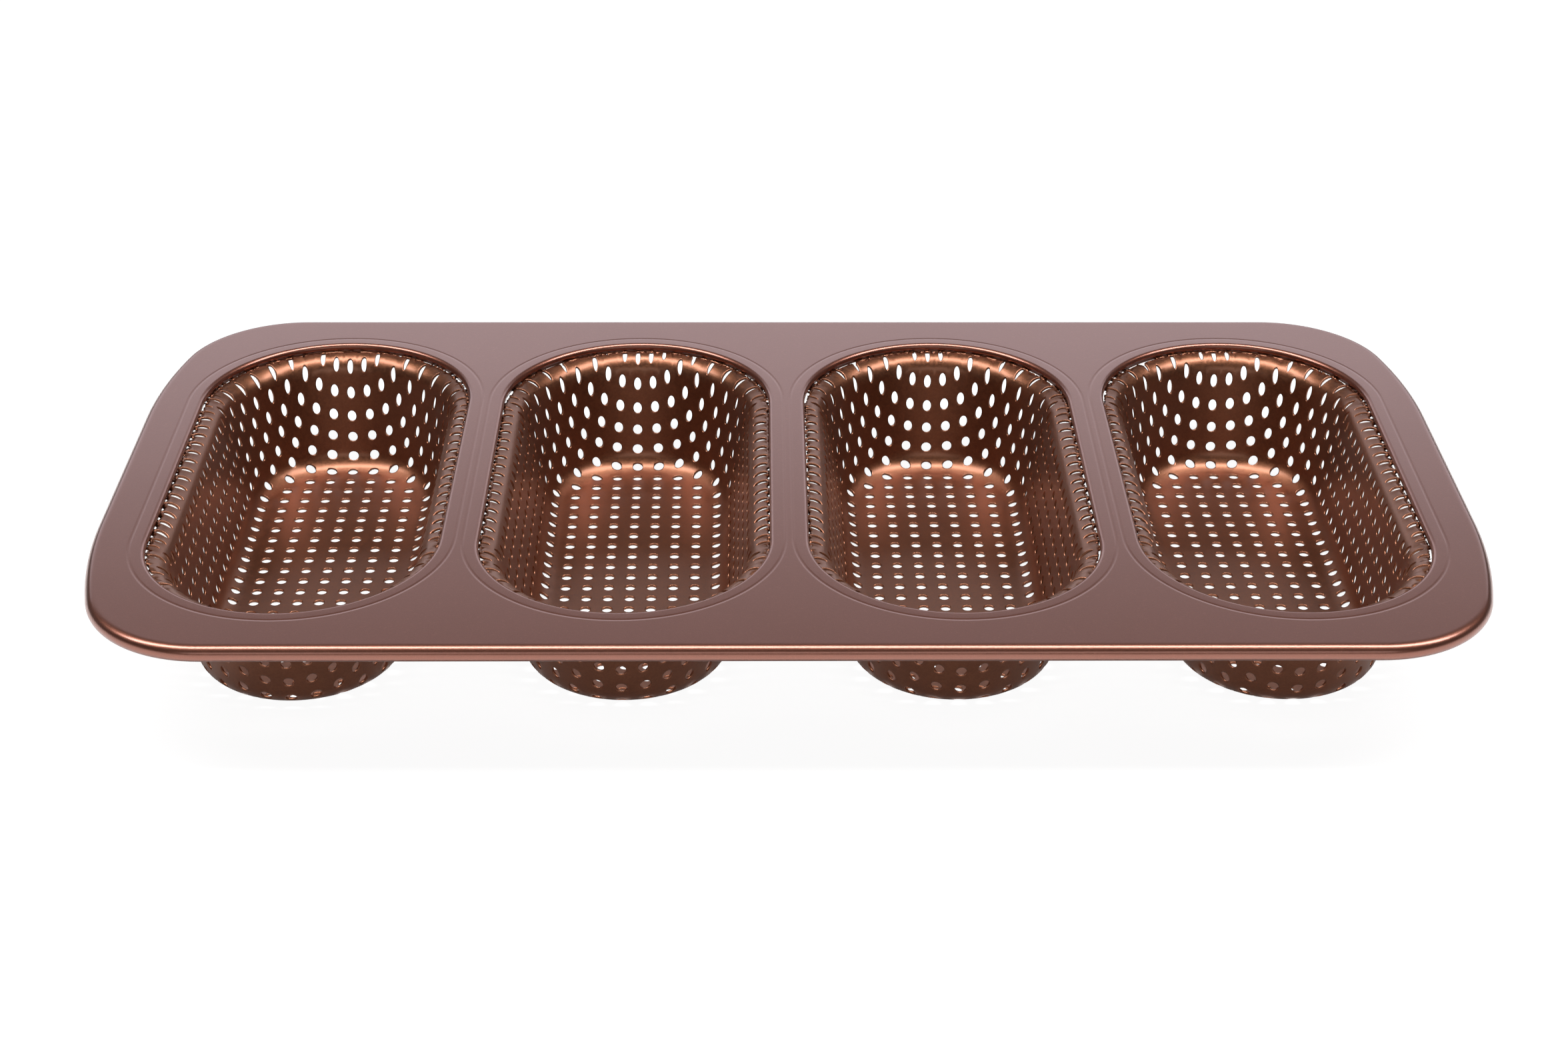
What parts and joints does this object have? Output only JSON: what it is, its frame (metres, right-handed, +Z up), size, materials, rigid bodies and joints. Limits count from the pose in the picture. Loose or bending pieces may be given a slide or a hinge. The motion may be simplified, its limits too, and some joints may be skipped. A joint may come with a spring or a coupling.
{
  "type": "baguette tray",
  "caption": "Baking tray with side-by-side perforated loaf cups hung in a plain deck with a rolled, wired rim; bronze non-stick finish.",
  "frame": {"origin": "on the surface the tray stands on, under the middle of the deck", "axes": "+X across the cups, +Y along a loaf, +Z up out of the cups"},
  "size_m": [0.38, 0.2022, 0.037],
  "materials": {
    "deck_coating": "satin metallic bronze non-stick coating with a fine pebbled grain, on steel sheet",
    "cup_coating": "satin copper-bronze non-stick coating with fine flakes, on perforated steel sheet",
    "wire_steel": "plain drawn steel wire, hidden in the rim"
  },
  "bodies": {
    "root": {"deck_plate": "deck_coating", "rim_wire": "wire_steel", "loaf_cup_1": "cup_coating", "loaf_cup_2": "cup_coating", "loaf_cup_3": "cup_coating", "loaf_cup_4": "cup_coating"}
  },
  "joints": []
}
